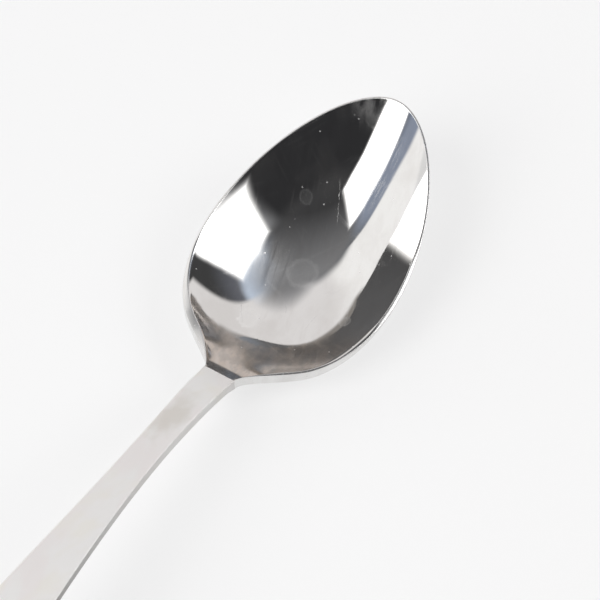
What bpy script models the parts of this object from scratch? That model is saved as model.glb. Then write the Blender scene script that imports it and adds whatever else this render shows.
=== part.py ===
"""Tablespoon: a deep egg-shaped bowl and an arched handle that meet at the neck line.

Metres, +Z up. The spoon lies on its back as on a table, bowl tip towards +X. The bowl and the
handle are both placed at the neck line, where their end faces meet.
"""

from math import cos, pi, radians, sin, sqrt

import bmesh
import bpy
from mathutils import Matrix, Vector

# Plan of the bowl, measured along the spoon from the tip unless a name says otherwise.
BOWL_LENGTH = 0.0683
BOWL_HALF_WIDTH = 0.0215
WIDEST_FROM_TIP = 0.0381
TIP_REACH = 0.0097
TOE_REACH = 0.0189
HEEL_REACH = 0.0116
SHOULDER_FROM_NECK = 0.0091
SHOULDER_HALF_WIDTH = 0.0138
SHOULDER_ANGLE = radians(48.0)
SHOULDER_REACH_BOWL = 0.0034
SHOULDER_REACH_NECK = 0.0055
NECK_HALF_WIDTH = 0.0034
NECK_REACH = 0.0020

# Height of the rim over the table, as the four ordinates of one cubic from the tip to the neck line.
RIM_TIP_HEIGHT = 0.0208
RIM_TOE_ORDINATE = 0.0145
RIM_HEEL_ORDINATE = 0.0065
NECK_HEIGHT = 0.0094

# Flat land round the hollow, and the edge below it.
LAND_WIDTH = 0.0004
LAND_GROWS_FROM_TIP = 0.0400
LAND_SHOULDER_WIDTH = 0.0015
LAND_SHOULDER_FROM_NECK = 0.0068
RIM_EDGE_HEIGHT = 0.0012
NECK_EDGE_HEIGHT = 0.0029
NECK_EDGE_RUN = 0.0060
RIM_ROUND = 0.00012

# Long section of the hollow, with the short step that ends it at the neck line and the steep lip beside it.
LOWEST_FROM_TIP = 0.0367
FLOOR_THICKNESS = 0.0015
HOLLOW_TOE_SLOPE = 0.97
HOLLOW_TOE_REACH = 0.0070
HOLLOW_TOE_FLAT = 0.0171
HOLLOW_HEEL_FLAT = 0.0193
HOLLOW_HEEL_REACH = 0.0143
HOLLOW_HEEL_SLOPE = 0.326
NECK_STEP_LENGTH = 0.0022
NECK_STEP_DROP = 0.00132
LIP_FROM_TIP = 0.0600
LIP_RUN = 0.0005

# Long section of the underside, worn flat where it rests.
UNDER_TOE_SLOPE = 1.05
UNDER_TOE_REACH = 0.0080
UNDER_TOE_FLAT = 0.0170
UNDER_HEEL_FLAT = 0.0140
UNDER_HEEL_REACH = 0.0080
UNDER_HEEL_SLOPE = 0.42
REST_WEAR = 0.00006

# Plan of the handle, measured from the neck line unless a name says otherwise.
HANDLE_LENGTH = 0.1365
WAIST_FROM_NECK = 0.0207
WAIST_HALF_WIDTH = 0.0030
END_HALF_WIDTH = 0.0083
END_ROUND_LENGTH = 0.0175

# Side view of the handle: it climbs from the neck, arches over and comes down to the table.
NECK_SLOPE = 0.58
NECK_RISE_REACH = 0.0130
CREST_FROM_NECK = 0.0701
CREST_HEIGHT = 0.0219
CREST_REACH_NECK = 0.0128
CREST_REACH_END = 0.0240
END_SLOPE = 0.42
END_FALL_REACH = 0.0200
NECK_THICKNESS = 0.0038
STEM_EDGE_HEIGHT = 0.0031
END_THICKNESS = 0.0024
HANDLE_ROUND = 0.0003
HANDLE_ROUND_RUN = 0.0030

# Finish: the bowl is mirror polished, the handle is dulled by use.
BOWL_COLOUR = (0.74, 0.73, 0.72)
BOWL_ROUGHNESS = 0.08
HANDLE_COLOUR = (0.80, 0.79, 0.77)
HANDLE_ROUGHNESS = 0.60
SHARP_ANGLE = radians(35.0)

# Faces along each stretch of outline and across each half section.
TIP_STEPS = 18
HEEL_STEPS = 14
NECK_STEPS = 12
WAIST_STEPS = 7
STEM_STEPS = 14
END_STEPS = 10
HOLLOW_STEPS = 9
UNDER_STEPS = 9
TOP_STEPS = 2

WELD = 1e-7


def bezier(curve, u):
    """Point of a cubic curve at the parameter u."""
    a, b, c, d = curve
    v = 1 - u
    return a * v**3 + b * 3 * v * v * u + c * 3 * v * u * u + d * u**3


def bezier_tangent(curve, u):
    """Unit direction of a cubic curve at the parameter u."""
    a, b, c, d = curve
    v = 1 - u
    return ((b - a) * v * v + (c - b) * 2 * v * u + (d - c) * u * u).normalized()


def height_along(curves, x):
    """Height of a chain of side-view curves at the distance x along the spoon."""
    curve = next((c for c in curves if x <= c[3].x), curves[-1])
    low, high = 0.0, 1.0
    for _ in range(40):
        middle = (low + high) / 2
        if bezier(curve, middle).x < x:
            low = middle
        else:
            high = middle
    return bezier(curve, (low + high) / 2).y


def smooth_step(x):
    """Ramp from 0 to 1 with level ends."""
    x = min(max(x, 0.0), 1.0)
    return x * x * (3 - 2 * x)


def stations(curves, counts):
    """Points and directions along a chain of plan curves, each stretch cut into its own number of steps."""
    found = [(bezier(curves[0], 0.0), bezier_tangent(curves[0], 0.0))]
    for curve, count in zip(curves, counts):
        for step in range(1, count + 1):
            u = step / count
            found.append((bezier(curve, u), bezier_tangent(curve, u)))
    return found


def straight(a, b):
    """A straight line as a cubic curve."""
    return (a, a.lerp(b, 1 / 3), a.lerp(b, 2 / 3), b)


def bowl_outline():
    """Plan curves of one side of the bowl: tip to widest, widest to shoulder, shoulder to neck."""
    tip = Vector((0.0, 0.0))
    widest = Vector((WIDEST_FROM_TIP, BOWL_HALF_WIDTH))
    shoulder = Vector((BOWL_LENGTH - SHOULDER_FROM_NECK, SHOULDER_HALF_WIDTH))
    inwards = Vector((cos(SHOULDER_ANGLE), -sin(SHOULDER_ANGLE)))
    neck = Vector((BOWL_LENGTH, NECK_HALF_WIDTH))
    along = Vector((1.0, 0.0))
    across = Vector((0.0, 1.0))
    return (
        (tip, tip + across * TIP_REACH, widest - along * TOE_REACH, widest),
        (widest, widest + along * HEEL_REACH, shoulder - inwards * SHOULDER_REACH_BOWL, shoulder),
        (shoulder, shoulder + inwards * SHOULDER_REACH_NECK, neck - along * NECK_REACH, neck),
    )


def rim_height(t):
    """Height of the rim over the table at the distance t from the tip."""
    ordinates = (RIM_TIP_HEIGHT, RIM_TOE_ORDINATE, RIM_HEEL_ORDINATE, NECK_HEIGHT)
    return bezier(ordinates, t / BOWL_LENGTH)


def land_width(t):
    """Width of the flat land: even round the tip, widest on the shoulder, nothing at the neck line."""
    peak = BOWL_LENGTH - LAND_SHOULDER_FROM_NECK
    if t > peak:
        return LAND_SHOULDER_WIDTH * smooth_step((BOWL_LENGTH - t) / LAND_SHOULDER_FROM_NECK)
    grown = smooth_step((t - LAND_GROWS_FROM_TIP) / (peak - LAND_GROWS_FROM_TIP))
    return LAND_WIDTH + (LAND_SHOULDER_WIDTH - LAND_WIDTH) * grown


def edge_height(t):
    """Height of the upright edge: thin round the tip, as deep as the handle's side at the neck."""
    full = BOWL_LENGTH - NECK_EDGE_RUN
    grown = smooth_step((t - WIDEST_FROM_TIP) / (full - WIDEST_FROM_TIP))
    return RIM_EDGE_HEIGHT + (NECK_EDGE_HEIGHT - RIM_EDGE_HEIGHT) * grown


def hollow_profile():
    """Side-view curves of the hollow's floor from its tip down to the lowest point and up to the neck."""
    tip = Vector((LAND_WIDTH, rim_height(LAND_WIDTH)))
    lowest = Vector((LOWEST_FROM_TIP, FLOOR_THICKNESS))
    foot = Vector((BOWL_LENGTH - NECK_STEP_LENGTH, NECK_HEIGHT - NECK_STEP_DROP))
    neck = Vector((BOWL_LENGTH, NECK_HEIGHT))
    along = Vector((1.0, 0.0))
    toe = Vector((1.0, -HOLLOW_TOE_SLOPE))
    heel = Vector((1.0, HOLLOW_HEEL_SLOPE))
    return (
        (tip, tip + toe * HOLLOW_TOE_REACH, lowest - along * HOLLOW_TOE_FLAT, lowest),
        (lowest, lowest + along * HOLLOW_HEEL_FLAT, foot - heel * HOLLOW_HEEL_REACH, foot),
        straight(foot, neck),
    )


def lip_share(t):
    """How far the lip round the heel has grown, from 0 on the sides to 1 at the foot of the step."""
    foot = BOWL_LENGTH - NECK_STEP_LENGTH
    return smooth_step((t - LIP_FROM_TIP) / (foot - LIP_FROM_TIP)) ** 2


def lip_height(floor, t):
    """Height of the steep lip below the rim; over the step it reaches down to the floor."""
    foot = BOWL_LENGTH - NECK_STEP_LENGTH
    if t >= foot:
        return rim_height(t) - height_along(floor, t)
    return (rim_height(foot) - height_along(floor, foot)) * lip_share(t)


def under_profile():
    """Side-view curves of the bowl's underside, from the lower edge of the tip to the neck."""
    tip = Vector((0.0, RIM_TIP_HEIGHT - RIM_EDGE_HEIGHT))
    lowest = Vector((LOWEST_FROM_TIP, -REST_WEAR))
    neck = Vector((BOWL_LENGTH, NECK_HEIGHT - NECK_THICKNESS))
    along = Vector((1.0, 0.0))
    toe = Vector((1.0, -UNDER_TOE_SLOPE))
    heel = Vector((1.0, UNDER_HEEL_SLOPE))
    return (
        (tip, tip + toe * UNDER_TOE_REACH, lowest - along * UNDER_TOE_FLAT, lowest),
        (lowest, lowest + along * UNDER_HEEL_FLAT, neck - heel * UNDER_HEEL_REACH, neck),
    )


def under_section(x, half_width, edge_z, centre_z):
    """Points under a half section, from the foot of its edge to the middle."""
    points = []
    for step in range(UNDER_STEPS + 1):
        share = 1 - step / UNDER_STEPS
        points.append(Vector((x, half_width * share, centre_z + (edge_z - centre_z) * share**2)))
    return points


def bowl_sections():
    """Half sections of the bowl from the tip to the neck line: hollow, lip, land, edge, underside."""
    floor = hollow_profile()
    under = under_profile()
    sections = []
    for outer, direction in stations(bowl_outline(), (TIP_STEPS, HEEL_STEPS, NECK_STEPS)):
        inwards = Vector((direction.y, -direction.x))
        land = land_width(outer.x)
        inner = outer + inwards * land
        rounded = min(RIM_ROUND, land / 3)
        shoulder = outer + inwards * rounded
        ledge = inner + inwards * LIP_RUN * sqrt(lip_share(outer.x))
        ledge_z = rim_height(ledge.x) - lip_height(floor, ledge.x)
        floor_z = height_along(floor, ledge.x)
        top_z = rim_height(outer.x)
        edge_z = top_z - edge_height(outer.x)
        x = BOWL_LENGTH - ledge.x
        points = []
        for step in range(HOLLOW_STEPS + 1):
            share = step / HOLLOW_STEPS
            points.append(Vector((x, ledge.y * share, floor_z + (ledge_z - floor_z) * share**2)))
        points.append(Vector((BOWL_LENGTH - inner.x, inner.y, rim_height(inner.x))))
        points.append(Vector((BOWL_LENGTH - shoulder.x, shoulder.y, top_z)))
        points.append(Vector((BOWL_LENGTH - outer.x, outer.y, top_z - rounded)))
        under_z = height_along(under, outer.x)
        points += under_section(BOWL_LENGTH - outer.x, outer.y, edge_z, under_z)
        sections.append(points)
    return sections


def handle_plan():
    """Plan points of one side of the handle: in to the waist, out again and round the end."""
    widest = HANDLE_LENGTH - END_ROUND_LENGTH
    points = []
    for step in range(WAIST_STEPS):
        share = step / WAIST_STEPS
        half = NECK_HALF_WIDTH + (WAIST_HALF_WIDTH - NECK_HALF_WIDTH) * smooth_step(share)
        points.append(Vector((WAIST_FROM_NECK * share, half)))
    for step in range(STEM_STEPS):
        share = step / STEM_STEPS
        half = WAIST_HALF_WIDTH + (END_HALF_WIDTH - WAIST_HALF_WIDTH) * smooth_step(share)
        points.append(Vector((WAIST_FROM_NECK + (widest - WAIST_FROM_NECK) * share, half)))
    for step in range(END_STEPS):
        turn = pi / 2 * step / END_STEPS
        points.append(Vector((widest + END_ROUND_LENGTH * sin(turn), END_HALF_WIDTH * cos(turn))))
    return points + [Vector((HANDLE_LENGTH, 0.0))]


def handle_profile():
    """Side-view curves of the handle's top: up from the neck to the crest and down to the end."""
    neck = Vector((0.0, NECK_HEIGHT))
    crest = Vector((CREST_FROM_NECK, CREST_HEIGHT))
    end = Vector((HANDLE_LENGTH, END_THICKNESS))
    along = Vector((1.0, 0.0))
    climb = Vector((1.0, NECK_SLOPE))
    fall = Vector((1.0, -END_SLOPE))
    return (
        (neck, neck + climb * NECK_RISE_REACH, crest - along * CREST_REACH_NECK, crest),
        (crest, crest + along * CREST_REACH_END, end - fall * END_FALL_REACH, end),
    )


def handle_sections():
    """Half sections of the handle from the neck line to the end: flat top, upright side, bellied back."""
    profile = handle_profile()
    sections = []
    for outer in handle_plan():
        top_z = height_along(profile, outer.x)
        thickness = NECK_THICKNESS + (END_THICKNESS - NECK_THICKNESS) * outer.x / HANDLE_LENGTH
        grown = smooth_step(outer.x / WAIST_FROM_NECK)
        edge = NECK_EDGE_HEIGHT + (STEM_EDGE_HEIGHT - NECK_EDGE_HEIGHT) * grown
        belly = (NECK_THICKNESS - edge) * min(1.0, outer.y / NECK_HALF_WIDTH)
        rounded = min(HANDLE_ROUND * smooth_step(outer.x / HANDLE_ROUND_RUN), outer.y / 3)
        flat = outer.y - rounded
        points = [Vector((-outer.x, flat * step / TOP_STEPS, top_z)) for step in range(TOP_STEPS + 1)]
        points.append(Vector((-outer.x, outer.y, top_z - rounded)))
        bottom_z = top_z - thickness
        points += under_section(-outer.x, outer.y, bottom_z + belly, bottom_z)
        sections.append(points)
    return sections


def loft(sections):
    """Skin drawn from half section to half section, mirrored across the middle and closed at its ends."""
    mesh = bmesh.new()
    row = [mesh.verts.new(point) for point in sections[0]]
    edges = [mesh.edges.new(pair) for pair in zip(row, row[1:])]
    for points in sections[1:]:
        drawn = bmesh.ops.extrude_edge_only(mesh, edges=edges)["geom"]
        edges = [item for item in drawn if isinstance(item, bmesh.types.BMEdge)]
        mesh.verts.ensure_lookup_table()
        row = mesh.verts[-len(points):]
        for vertex, point in zip(row, points):
            vertex.co = point
    half = mesh.verts[:] + mesh.edges[:] + mesh.faces[:]
    bmesh.ops.mirror(mesh, geom=half, matrix=Matrix(), merge_dist=WELD, axis="Y")
    bmesh.ops.remove_doubles(mesh, verts=mesh.verts[:], dist=WELD)
    bmesh.ops.dissolve_degenerate(mesh, edges=mesh.edges[:], dist=WELD)
    close(mesh)
    return mesh


def close(mesh):
    """Flat faces over the open loops, with every face turned outwards."""
    bmesh.ops.holes_fill(mesh, edges=[edge for edge in mesh.edges if edge.is_boundary], sides=0)
    bmesh.ops.recalc_face_normals(mesh, faces=mesh.faces[:])


def wear_flat(mesh):
    """The small flat under the bowl where it rests on the table."""
    everything = mesh.verts[:] + mesh.edges[:] + mesh.faces[:]
    bmesh.ops.bisect_plane(
        mesh, geom=everything, dist=WELD, plane_co=(0, 0, 0), plane_no=(0, 0, -1), clear_outer=True
    )
    close(mesh)


def steel(name, colour, roughness):
    """Stainless steel with its own polish."""
    material = bpy.data.materials.new(name)
    material.use_nodes = True
    shader = material.node_tree.nodes["Principled BSDF"]
    shader.inputs["Base Color"].default_value = (*colour, 1.0)
    shader.inputs["Metallic"].default_value = 1.0
    shader.inputs["Roughness"].default_value = roughness
    return material


def place(name, mesh, material, parent):
    """A finished piece in the scene, set at the neck line."""
    data = bpy.data.meshes.new(name)
    mesh.to_mesh(data)
    mesh.free()
    data.materials.append(material)
    data.shade_smooth()
    data.set_sharp_from_angle(angle=SHARP_ANGLE)
    piece = bpy.data.objects.new(name, data)
    piece.parent = parent
    piece.location.x = (HANDLE_LENGTH - BOWL_LENGTH) / 2
    bpy.context.scene.collection.objects.link(piece)
    return piece


def main():
    for old in list(bpy.data.objects):
        bpy.data.objects.remove(old, do_unlink=True)
    spoon = bpy.data.objects.new("tablespoon", None)
    bpy.context.scene.collection.objects.link(spoon)
    bowl = loft(bowl_sections())
    wear_flat(bowl)
    place("bowl", bowl, steel("polished_steel", BOWL_COLOUR, BOWL_ROUGHNESS), spoon)
    handle = loft(handle_sections())
    place("handle", handle, steel("worn_steel", HANDLE_COLOUR, HANDLE_ROUGHNESS), spoon)


main()
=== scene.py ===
"""Tablespoon in stainless steel: a mirror-polished bowl and a satin handle round the solids.

Metres, +Z up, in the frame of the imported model: the spoon lies on its back, the tip of the bowl
towards +X. Both pieces are drawn from the sizes of the solids that they stand for, and meet at the
neck line.
"""

import logging
import math
from dataclasses import dataclass, fields
from enum import Enum
from functools import reduce
from typing import Any, Iterable, Sequence, Union

import bmesh
import bpy
import numpy as np
from mathutils import Matrix, Vector


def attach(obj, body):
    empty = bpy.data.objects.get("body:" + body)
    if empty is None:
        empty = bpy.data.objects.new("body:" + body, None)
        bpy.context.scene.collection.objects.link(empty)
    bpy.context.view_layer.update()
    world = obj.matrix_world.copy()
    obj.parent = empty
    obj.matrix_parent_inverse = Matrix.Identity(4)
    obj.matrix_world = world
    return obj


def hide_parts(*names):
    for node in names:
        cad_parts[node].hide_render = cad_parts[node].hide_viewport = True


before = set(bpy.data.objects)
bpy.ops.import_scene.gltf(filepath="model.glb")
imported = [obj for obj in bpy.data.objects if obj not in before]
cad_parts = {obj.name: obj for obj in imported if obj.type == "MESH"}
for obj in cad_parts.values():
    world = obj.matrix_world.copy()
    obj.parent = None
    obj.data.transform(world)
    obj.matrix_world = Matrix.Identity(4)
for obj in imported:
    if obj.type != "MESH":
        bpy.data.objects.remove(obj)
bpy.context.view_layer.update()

log = logging.getLogger("tablespoon")

Number = Union["Signal", float]
Point = tuple[float, float]
Window = tuple[Point, Point]

BODY = "root"
NECK_LINE = 0.0341
EDGE_LAYER = "edge"
HOLLOW_LAYER = "hollow"
CORE_LAYER = "core"
WELD = 1e-7
SHARP_ANGLE = math.radians(40.0)


class Part(Enum):
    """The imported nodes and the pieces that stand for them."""

    BOWL = ("bowl", "spoon_bowl")
    HANDLE = ("handle", "spoon_handle")

    def __init__(self, node: str, piece: str) -> None:
        """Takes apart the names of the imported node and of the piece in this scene."""
        self.node = node
        self.piece = piece


class Side(Enum):
    """The sides of the bowl as the handle's end sees them, by the sign of their distance across."""

    LEFT = 1.0
    RIGHT = -1.0


class Tone(Enum):
    """Colours of the steel, of what lies on it, of the painted shade on the handle's sides and on
    the neck step, and of the room.
    """

    CLEAN_STEEL = (0.775, 0.770, 0.762)
    CLOUDED_STEEL = (0.690, 0.675, 0.660)
    DRIED_WATER = (0.800, 0.795, 0.785)
    SATIN_STEEL = (0.918, 0.911, 0.902)
    ROSE_STEEL = (0.910, 0.882, 0.874)
    STRAW_STEEL = (0.908, 0.893, 0.858)
    BROWN_STAIN = (0.740, 0.705, 0.655)
    # Painted shade of the handle's sides and back.
    PAINTED_SIDE_SHADE = (0.310, 0.298, 0.294)
    # Browner tones over the hollow's heel.
    TARNISH = (0.480, 0.440, 0.405)
    HEEL_ROSE_BROWN = (0.560, 0.500, 0.452)
    # Painted shade of the step at the neck line.
    PAINTED_STEP_SHADE = (0.220, 0.208, 0.198)
    PAPER = (0.920, 0.920, 0.922)
    PAPER_SHADE = (0.912, 0.912, 0.916)
    BACKDROP = (0.972, 0.972, 0.972)
    LAMP = (1.0, 0.995, 0.99)
    CEILING_NEAR = (0.055, 0.055, 0.057)
    CEILING_FAR = (0.245, 0.245, 0.252)
    DARK_ROOM = (0.033, 0.033, 0.035)
    LEFT_GAP = (0.300, 0.340, 0.430)
    MIDDLE_GAP = (0.165, 0.175, 0.190)
    RIGHT_GAP = (0.062, 0.062, 0.063)
    RIGHT_GAP_TOP = (0.150, 0.158, 0.185)
    SPILL = (0.450, 0.455, 0.465)
    GLOW = (0.620, 0.710, 0.850)
    SHEET = (0.88, 0.857, 0.852)
    LIT_SHEET = (1.10, 1.09, 1.08)
    LOW_SHEET = (0.30, 0.28, 0.26)
    HORIZON = (0.90, 0.90, 0.90)


class Wear(Enum):
    """Kinds of wear on the mirror: the roughness that each adds, and how far it veils the metal."""

    CLOUDS = (0.012, 0.020)
    HAIRLINES = (0.07, 0.030)
    DRIED_BORDER = (0.05, 0.030)
    FILM = (0.06, 0.025)
    DUST = (0.20, 0.5)
    RIM = (0.30, 0.0)
    TARNISH = (0.14, 0.0)
    HAZE = (0.12, 0.18)
    SCRATCHES = (0.15, 0.10)
    RUBBED = (0.06, 0.22)
    TOE_FILM = (0.08, 0.16)

    def __init__(self, roughness: float, veil: float) -> None:
        """Takes the two amounts apart."""
        self.roughness = roughness
        self.veil = veil


class Signal:
    """A value that runs through a node tree; an expression on it adds the Math nodes for it."""

    def __init__(self, bench: "Bench", socket: bpy.types.NodeSocket) -> None:
        """Holds the socket that gives the value and the bench that adds nodes to its tree."""
        self.bench = bench
        self.socket = socket

    def math(self, operation: str, *operands: Number) -> "Signal":
        """Adds one Math node.

        Args:
            operation: The Math node's operation.
            operands: Values or signals for its sockets, in order.

        Returns:
            The node's result.
        """
        node = self.bench.add("ShaderNodeMath", dict(enumerate(operands)), operation=operation)
        return Signal(self.bench, node.outputs[0])

    def __add__(self, other: Number) -> "Signal":
        """Sum."""
        return self.math("ADD", self, other)

    def __radd__(self, other: Number) -> "Signal":
        """Sum, with the plain number first."""
        return self.math("ADD", other, self)

    def __sub__(self, other: Number) -> "Signal":
        """Difference."""
        return self.math("SUBTRACT", self, other)

    def __rsub__(self, other: Number) -> "Signal":
        """Difference, with the plain number first."""
        return self.math("SUBTRACT", other, self)

    def __mul__(self, other: Number) -> "Signal":
        """Product."""
        return self.math("MULTIPLY", self, other)

    def __rmul__(self, other: Number) -> "Signal":
        """Product, with the plain number first."""
        return self.math("MULTIPLY", other, self)

    def __truediv__(self, other: Number) -> "Signal":
        """Quotient."""
        return self.math("DIVIDE", self, other)

    def __abs__(self) -> "Signal":
        """Size without sign."""
        return self.math("ABSOLUTE", self)

    def least(self, other: Number) -> "Signal":
        """The smaller of two values."""
        return self.math("MINIMUM", self, other)

    def most(self, other: Number) -> "Signal":
        """The larger of two values."""
        return self.math("MAXIMUM", self, other)

    def ramp(self, low: Number, high: Number, eased: bool = True) -> "Signal":
        """Share of the way from one value to another, held at 0 and 1 outside.

        Args:
            low: Value that gives 0.
            high: Value that gives 1.
            eased: Whether the ramp starts and ends level.

        Returns:
            The share.
        """
        kind = "SMOOTHSTEP" if eased else "LINEAR"
        ends = {"Value": self, "From Min": low, "From Max": high, "To Min": 0.0, "To Max": 1.0}
        node = self.bench.add("ShaderNodeMapRange", ends, interpolation_type=kind, clamp=True)
        return self.bench.signal(node, "Result")

    def window(self, rise: Point, fall: Point) -> "Signal":
        """Share that ramps up over one stretch of values and down again over another."""
        return self.ramp(*rise) * (1 - self.ramp(*fall))


def strongest(masks: Iterable[Signal]) -> Signal:
    """The strongest of several masks at each place."""
    return reduce(Signal.most, masks)


class Bench:
    """Adds nodes to one tree, whether it is a finish, the room or a shape."""

    def __init__(self, tree: bpy.types.NodeTree) -> None:
        """Takes the tree to work on, and empties it."""
        self.tree = tree
        tree.nodes.clear()

    def add(
        self, kind: str, sockets: dict[str | int, Any] | None = None, **settings: Any
    ) -> bpy.types.Node:
        """Adds a node.

        Args:
            kind: The node's type.
            sockets: Values or links of its sockets, by name or number.
            settings: Its properties, set first because they decide which sockets it has.

        Returns:
            The new node.
        """
        node = self.tree.nodes.new(kind)
        for name, value in settings.items():
            setattr(node, name, value)
        for key, value in (sockets or {}).items():
            self.feed(self.find(node.inputs, key), value)
        return node

    def feed(self, socket: bpy.types.NodeSocket, value: Any) -> None:
        """Fills a socket.

        Args:
            socket: The socket.
            value: A signal or another socket, which is linked, or a plain value or a tone.
        """
        source = value.socket if isinstance(value, Signal) else value
        if isinstance(source, bpy.types.NodeSocket):
            self.tree.links.new(source, socket)
        else:
            socket.default_value = (*source.value, 1.0) if isinstance(source, Tone) else source

    @staticmethod
    def find(sockets: Sequence[bpy.types.NodeSocket], key: str | int) -> bpy.types.NodeSocket:
        """Finds a socket.

        Args:
            sockets: A node's inputs or outputs.
            key: The socket's number, or its name among those in use.

        Returns:
            The socket.
        """
        if isinstance(key, int):
            return sockets[key]
        return next(socket for socket in sockets if socket.name == key and socket.enabled)

    def signal(self, node: bpy.types.Node, output: str | int = 0) -> Signal:
        """One of a node's results as a signal."""
        return Signal(self, self.find(node.outputs, output))

    def parts(self, vector: Any) -> tuple[Signal, Signal, Signal]:
        """The three parts of a vector."""
        node = self.add("ShaderNodeSeparateXYZ", {0: vector})
        return self.signal(node, 0), self.signal(node, 1), self.signal(node, 2)

    def vector(self, x: Number, y: Number, z: Number) -> bpy.types.NodeSocket:
        """A vector from its three parts."""
        return self.add("ShaderNodeCombineXYZ", {0: x, 1: y, 2: z}).outputs[0]

    def mix(self, share: Number, first: Any, second: Any) -> bpy.types.NodeSocket:
        """Mixes two colours, each a tone or a link, by the share of the second."""
        sockets = {"Factor": share, "A": first, "B": second}
        return self.find(self.add("ShaderNodeMix", sockets, data_type="RGBA").outputs, "Result")

    def blend(
        self, share: Signal, first: bpy.types.Node, second: bpy.types.Node
    ) -> bpy.types.NodeSocket:
        """Mixes two shaders by the share of the second."""
        sockets = {0: share, 1: first.outputs[0], 2: second.outputs[0]}
        return self.add("ShaderNodeMixShader", sockets).outputs[0]


def cubic(points: Sequence[Any], u: Any) -> Any:
    """A cubic curve's value, for arrays and signals alike.

    Args:
        points: Its four control values.
        u: Place along it, from 0 to 1.

    Returns:
        The value at u.
    """
    a, b, c, d = points
    v = 1 - u
    return v * v * v * a + v * v * u * 3 * b + v * u * u * 3 * c + u * u * u * d


def ease(x: np.ndarray, start: float, full: float) -> np.ndarray:
    """Ramp from 0 at one place to 1 at another, with level ends."""
    share = np.clip((x - start) / (full - start), 0.0, 1.0)
    return share * share * (3 - 2 * share)


@dataclass(frozen=True)
class Curve:
    """One cubic stretch of a plan or a side view: its two ends, and the points they head for."""

    start: Point
    leaving: Point
    arriving: Point
    end: Point

    def points(self) -> list[np.ndarray]:
        """Its four points in order."""
        return [np.array(p) for p in (self.start, self.leaving, self.arriving, self.end)]

    def at(self, u: np.ndarray) -> np.ndarray:
        """Points at the places u along the stretch."""
        return cubic(self.points(), u[:, None])

    def heading(self, u: np.ndarray) -> np.ndarray:
        """Unit directions along the stretch.

        Args:
            u: Places along it, from 0 to 1.

        Returns:
            The direction at each place.
        """
        a, b, c, d = self.points()
        u = u[:, None]
        slope = (b - a) * (1 - u) ** 2 + (c - b) * 2 * u * (1 - u) + (d - c) * u**2
        return slope / np.linalg.norm(slope, axis=1, keepdims=True)


class SideView:
    """Heights of a chain of side-view stretches by their distance along the spoon."""

    SAMPLES = 3000

    def __init__(self, *stretches: Curve) -> None:
        """Samples the stretches finely enough that the steps don't show in a mirror finish."""
        u = np.linspace(0.0, 1.0, self.SAMPLES)
        self.table = np.concatenate([stretch.at(u) for stretch in stretches])

    def height(self, x: np.ndarray) -> np.ndarray:
        """Heights at the distances x."""
        return np.interp(x, self.table[:, 0], self.table[:, 1])


class FinishBench(Bench):
    """Bench for a finish, with the object's own coordinates."""

    def __init__(self, name: str) -> None:
        """Starts an empty material.

        Args:
            name: Its name.
        """
        self.material = bpy.data.materials.new(name)
        self.material.use_nodes = True
        super().__init__(self.material.node_tree)
        self.place = self.find(self.add("ShaderNodeTexCoord").outputs, "Object")
        self.x, self.y = self.parts(self.place)[:2]

    def attribute(self, name: str) -> Signal:
        """A value that the mesh itself carries."""
        return self.signal(self.add("ShaderNodeAttribute", attribute_name=name), "Fac")

    def metal(
        self, colour: Any, roughness: Number, relief: Signal, metallic: Number
    ) -> bpy.types.NodeSocket:
        """Surface of a metal.

        Args:
            colour: Base colour.
            roughness: Roughness.
            relief: Height of the surface, in metres.
            metallic: 1 for bare metal, less where something veils it.

        Returns:
            The shader's socket.
        """
        bump = self.add("ShaderNodeBump", {"Strength": 1.0, "Distance": 1.0, "Height": relief})
        sockets = {"Base Color": colour, "Metallic": metallic, "Roughness": roughness}
        sockets["Normal"] = bump.outputs[0]
        return self.add("ShaderNodeBsdfPrincipled", sockets).outputs[0]


@dataclass(frozen=True)
class Grain:
    """Noise whose clouds have a given size along each axis, turned about Z.

    The seed says where in the noise the pattern is taken from. Levels stretch it from 0 to 1.
    """

    size: tuple[float, float, float]
    seed: float
    turn: float = 0.0
    detail: float = 2.0
    levels: Point | None = None

    def on(self, bench: FinishBench) -> Signal:
        """Lays the noise on a finish.

        Args:
            bench: Bench of the finish.

        Returns:
            The noise, around 0.5 where it has no levels.
        """
        sockets = {"Vector": bench.place, "Location": (self.seed,) * 3, "Scale": self.size}
        sockets["Rotation"] = (0.0, 0.0, self.turn)
        placed = bench.add("ShaderNodeMapping", sockets, vector_type="TEXTURE").outputs[0]
        sockets = {"Vector": placed, "Scale": 1.0, "Detail": self.detail}
        noise = bench.signal(bench.add("ShaderNodeTexNoise", sockets))
        return noise.ramp(*self.levels) if self.levels else noise


@dataclass(frozen=True)
class Hairlines:
    """Fine scratches that all run one way about Z, by their usual length and gap."""

    turn: float
    length: float
    gap: float
    seed: float
    strength: float = 1.0

    WIDTH = 0.03
    PATCH = (0.009, 0.005, 0.009)
    PATCH_LEVELS = (0.48, 0.68)
    PATCH_SEED = 0.4

    def on(self, bench: FinishBench) -> Signal:
        """Lays the scratches on a finish.

        Args:
            bench: Bench of the finish.

        Returns:
            Their strength, which is 0 outside some patches.
        """
        size = (self.length, self.gap, self.length)
        lines = Grain(size, self.seed, self.turn, detail=0.0).on(bench)
        seed = self.seed + self.PATCH_SEED
        patches = Grain(self.PATCH, seed, self.turn, levels=self.PATCH_LEVELS).on(bench)
        return (1 - abs(lines - 0.5).ramp(0.0, self.WIDTH)) * patches * self.strength


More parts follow.
